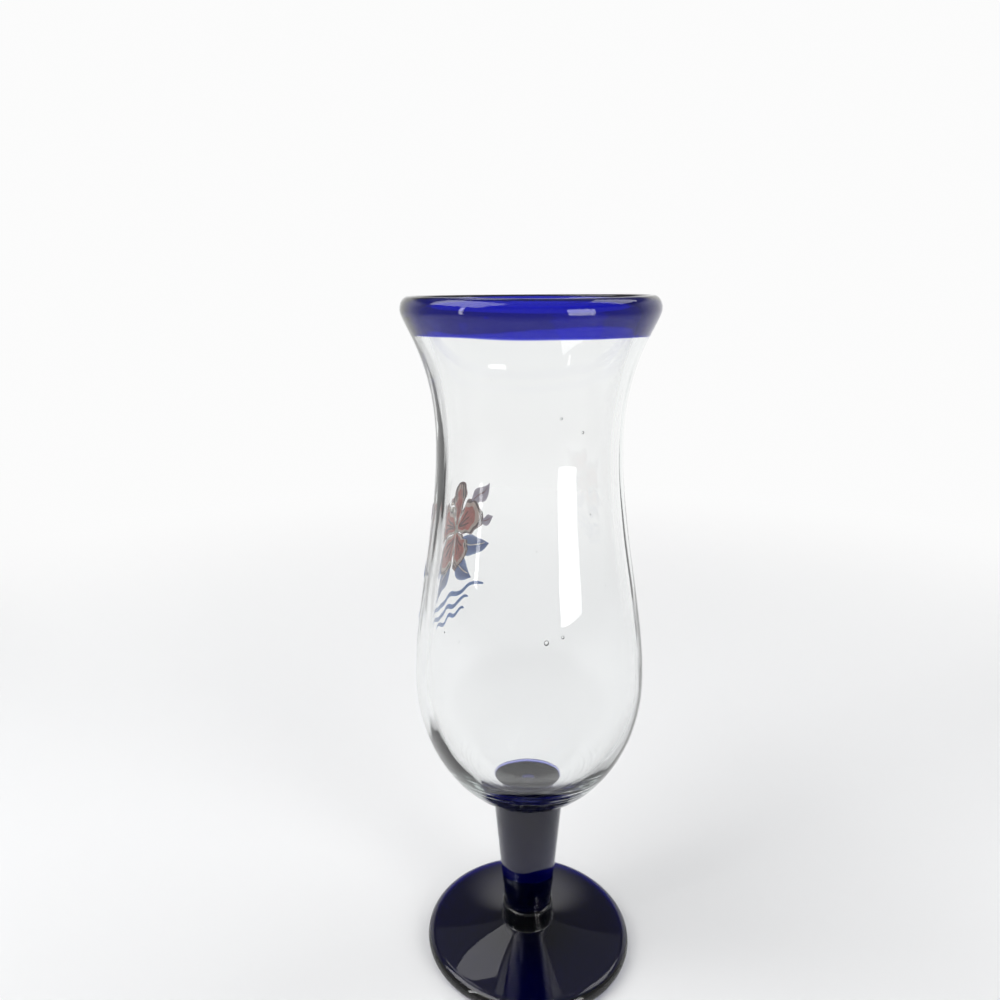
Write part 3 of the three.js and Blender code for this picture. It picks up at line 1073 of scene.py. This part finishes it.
stamen = [thread(FLOWER, STAMEN_HEADING, STAMEN_LENGTH, curl=-0.9, width=0.5, depth=TOP),
          dot(FLOWER, radius=2.1, depth=TOP)]
stamen += [dot((tip_x + TIP_RING * math.cos(a), tip_y + TIP_RING * math.sin(a)), TIP_RADIUS, TOP)
           for a in ring_angles(TIP_SPOTS)]
waves = [wave(*row, GROUND) for row in WAVES]
print(len(petals), "petals,", len(leaves), "leaves,", len(buds), "buds and", len(waves), "waves")

# %% Printed colours
printed("print_outlines", petal_edges, (0.16, 0.07, 0.07))
printed("print_pale_petals", pale_petals, (0.88, 0.70, 0.64))
printed("print_petals", petals, (0.76, 0.24, 0.19))
printed("print_veins", veins + bud_lines, (0.24, 0.07, 0.07))
printed("print_leaves", leaves, (0.09, 0.17, 0.42))
printed("print_highlights", ribs + stamen, (0.85, 0.78, 0.70))
printed("print_buds", buds, (0.46, 0.40, 0.50))
printed("print_waves", waves, (0.11, 0.25, 0.58))

# %% [markdown]
# ## The studio
# Glass has no look of its own, only what it bends and mirrors, so the studio is most of the finish. A
# pale floor curves up into a pale wall all round. Behind the glass the wall is white; to the sides it
# falls off to grey, and that grey is what draws the dark lines just inside the bowl's edges.

# %% Floor and backdrop
FLOOR_RADIUS = 1.6
COVE_RADIUS = 0.5
WALL_TOP = 1.9
# A hair of air between the floor and the foot's ring, so that their faces don't coincide
UNDER_GLASS = 0.05 * MM
SWEEP_COLUMNS = 96
FIRST_RING = 0.01


def sweep_grid():
    """Floor disc, quarter-round cove and upright wall, carried round the axis, facing the glass."""
    floor = line((FIRST_RING, -UNDER_GLASS), (FLOOR_RADIUS, -UNDER_GLASS), count=30)
    cove_middle = (FLOOR_RADIUS, COVE_RADIUS - UNDER_GLASS)
    cove = arc(cove_middle, COVE_RADIUS, COVE_RADIUS, -0.25, 0.0, count=30)
    wall_radius = FLOOR_RADIUS + COVE_RADIUS
    wall = line((wall_radius, COVE_RADIUS), (wall_radius, WALL_TOP), count=10)
    return carried_round(np.concatenate([floor, cove[1:], wall[1:]]), SWEEP_COLUMNS)


def sweep_object():
    """The sweep as one open surface whose floor is closed by a small fan at its middle."""
    grid = sweep_grid()
    rows, around, _ = grid.shape
    firsts = np.arange(rows) * around
    quads = np.concatenate([strip_quads(b, a, around) for a, b in zip(firsts[:-1], firsts[1:])])
    fan = fan_triangles(rows * around, 0, around, True)
    points = np.concatenate([grid.reshape(-1, 3), [[0.0, 0.0, -UNDER_GLASS]]])
    mesh = bpy.data.meshes.new("studio_sweep")
    mesh.from_pydata(points.tolist(), [], quads.tolist() + fan.tolist())
    mesh.shade_smooth()
    sweep = bpy.data.objects.new("studio_sweep", mesh)
    bpy.context.scene.collection.objects.link(sweep)
    return sweep


sweep = sweep_object()
print("sweep of", len(sweep.data.polygons), "faces, wall at", FLOOR_RADIUS + COVE_RADIUS, "m")

# %% [markdown]
# ## The paper
# The sweep is matt paper, lit by the lamps near the glass, where it takes the shadow. Farther out it
# should not depend on the lamps, so there it has a brightness of its own, which eases in with distance
# from the glass. Light Path gives that only to what the camera sees, straight or by way of the glass:
# light that the paper throws back on to other things stays as it is.


# %% Node helpers for the paper
def math_node(tree, operation, first, second=None):
    """One Math node on two values, which are sockets or numbers."""
    node = tree.nodes.new("ShaderNodeMath")
    node.operation = operation
    for socket, value in zip(node.inputs, (first, second)):
        if value is None:
            continue
        if isinstance(value, (int, float)):
            socket.default_value = value
        else:
            tree.links.new(value, socket)
    return node.outputs["Value"]


def smooth_range(tree, value, start, end, low, high):
    """A value eased from low before start to high after end; low and high are sockets or numbers."""
    node = tree.nodes.new("ShaderNodeMapRange")
    node.interpolation_type = "SMOOTHSTEP"
    tree.links.new(value, node.inputs["Value"])
    node.inputs["From Min"].default_value = start
    node.inputs["From Max"].default_value = end
    for name, limit in (("To Min", low), ("To Max", high)):
        if isinstance(limit, (int, float)):
            node.inputs[name].default_value = limit
        else:
            tree.links.new(limit, node.inputs[name])
    return node.outputs["Result"]


# %% Paper
PAPER = 0.86
WHITE_BACK = 0.97
GREY_SIDE = 0.42
GREY_FRONT = 0.46
CEILING = 0.18
CEILING_FADE = (0.95, 1.45)
# Turns from straight behind over which the wall goes from white to the sides' grey, then to the front's
SIDE_TURN = (math.radians(48), math.radians(82))
FRONT_TURN = (math.radians(105), math.radians(150))
# The same for the floor, and the distances over which its own brightness eases in on each side
FLOOR_TURN = (math.radians(40), math.radians(75))
BEHIND_FADE = (0.16, 0.70)
BESIDE_FADE = (0.35, 1.10)
BEFORE_FADE = (0.12, 0.60)


def sweep_material():
    """Pale matt paper. Away from the glass, rays from the camera and through or off the glass see it at
    its set brightness: white behind, grey beside and in front, dark overhead. Others see plain paper."""
    material, tree, output = new_material("pale_paper")
    paper = tree.nodes.new("ShaderNodeBsdfDiffuse")
    paper.inputs["Color"].default_value = (PAPER, PAPER, PAPER, 1.0)
    place = tree.nodes.new("ShaderNodeTexCoord")
    parts = tree.nodes.new("ShaderNodeSeparateXYZ")
    tree.links.new(place.outputs["Object"], parts.inputs["Vector"])
    x, y, z = (parts.outputs[name] for name in "XYZ")
    aside = math_node(tree, "ABSOLUTE", math_node(tree, "ARCTAN2", x, y))
    side = smooth_range(tree, aside, *SIDE_TURN, WHITE_BACK, GREY_SIDE)
    front = smooth_range(tree, aside, *FRONT_TURN, side, GREY_FRONT)
    bright = smooth_range(tree, z, *CEILING_FADE, front, CEILING)
    glow = tree.nodes.new("ShaderNodeEmission")
    tree.links.new(bright, glow.inputs["Strength"])
    squares = [math_node(tree, "POWER", part, 2.0) for part in (x, y)]
    away = math_node(tree, "SQRT", math_node(tree, "ADD", *squares))
    behind, beside, before = (smooth_range(tree, away, *fade, 0.0, 1.0)
                              for fade in (BEHIND_FADE, BESIDE_FADE, BEFORE_FADE))
    far = smooth_range(tree, aside, *FLOOR_TURN, behind, beside)
    far = smooth_range(tree, aside, *FRONT_TURN, far, before)
    rays = tree.nodes.new("ShaderNodeLightPath")
    seen = math_node(tree, "MAXIMUM", rays.outputs["Is Camera Ray"], rays.outputs["Is Glossy Ray"])
    seen = math_node(tree, "MAXIMUM", seen, rays.outputs["Is Transmission Ray"])
    mix = tree.nodes.new("ShaderNodeMixShader")
    tree.links.new(math_node(tree, "MULTIPLY", far, seen), mix.inputs["Fac"])
    tree.links.new(paper.outputs["BSDF"], mix.inputs[1])
    tree.links.new(glow.outputs["Emission"], mix.inputs[2])
    tree.links.new(mix.outputs["Shader"], output.inputs["Surface"])
    return material


sweep.data.materials.append(sweep_material())
print("white behind at", WHITE_BACK, "and grey beside at", GREY_SIDE)

# %% [markdown]
# ## World and lamps
# Two large boxes overhead give the floor and the glass their soft light, with a small one high behind. A
# tall box at the front right is what a window is in a room: the bowl mirrors it as one long highlight.
# A thin strip at the left draws a second line. The lamps are mirrored but never seen through the glass,
# because a white rectangle behind a clear bowl would look like a hole in it.

# %% World
WORLD_COLOUR = (0.95, 0.97, 1.0, 1.0)
WORLD_STRENGTH = 0.34


def studio_world():
    """A dim even ceiling over the sweep."""
    world = bpy.data.worlds.new("studio")
    world.use_nodes = True
    background = world.node_tree.nodes["Background"]
    background.inputs["Color"].default_value = WORLD_COLOUR
    background.inputs["Strength"].default_value = WORLD_STRENGTH
    bpy.context.scene.world = world


studio_world()
print("world strength", WORLD_STRENGTH)

# %% Lamps
GLASS_MIDDLE = (0.0, 0.0, 0.13)
GLASS_FOOT = (0.0, 0.0, 0.0)


def softbox(name, place, target, width, height, watts):
    """A rectangular lamp that faces a target. It is mirrored, but isn't seen through the glass."""
    lamp = bpy.data.lights.new(name, "AREA")
    lamp.shape = "RECTANGLE"
    lamp.size = width
    lamp.size_y = height
    lamp.energy = watts
    box = bpy.data.objects.new(name, lamp)
    back = np.asarray(place, float) - np.asarray(target, float)
    back /= np.linalg.norm(back)
    across = np.cross((0.0, 0.0, 1.0), back)
    across /= np.linalg.norm(across)
    turned = np.eye(4)
    turned[:3, 0] = across
    turned[:3, 1] = np.cross(back, across)
    turned[:3, 2] = back
    turned[:3, 3] = place
    box.matrix_world = turned.T.tolist()
    box.visible_camera = False
    box.visible_transmission = False
    bpy.context.scene.collection.objects.link(box)


def round_the_glass(degrees, distance, height):
    """A place by its turn from the camera's side, positive to the right."""
    angle = math.radians(degrees)
    return distance * math.sin(angle), -distance * math.cos(angle), height


softbox("top_left_box", (-0.90, -0.25, 1.22), (0.0, 0.03, 0.05), width=1.38, height=0.90, watts=13.4)
softbox("top_right_box", (1.00, 0.36, 1.36), (0.15, 0.10, 0.0), width=0.90, height=0.78, watts=5.4)
softbox("top_back_box", (-0.34, 0.80, 1.4), GLASS_FOOT, width=0.40, height=0.50, watts=1.0)
softbox("window_box", round_the_glass(42, 0.8, 0.28), GLASS_MIDDLE, width=0.34, height=0.50, watts=3.2)
softbox("left_strip", round_the_glass(-58, 0.7, 0.30), GLASS_MIDDLE, width=0.05, height=0.46, watts=0.5)
print("lamps:", [lamp.name for lamp in bpy.data.lights])

# %% [markdown]
# ## Light paths
# A ray that crosses the bowl goes through four surfaces, and near the base through many more, because
# it is thrown to and fro between the walls. With few bounces it would end there, black, so many are
# allowed. The Standard view shows each colour as it is written.

# %% Light paths
THROUGH_BOUNCES = 32
MIRROR_BOUNCES = 12

scene = bpy.context.scene
scene.view_settings.view_transform = "Standard"
scene.cycles.max_bounces = THROUGH_BOUNCES
scene.cycles.transmission_bounces = THROUGH_BOUNCES
scene.cycles.glossy_bounces = MIRROR_BOUNCES
print("bounces through glass:", scene.cycles.transmission_bounces)
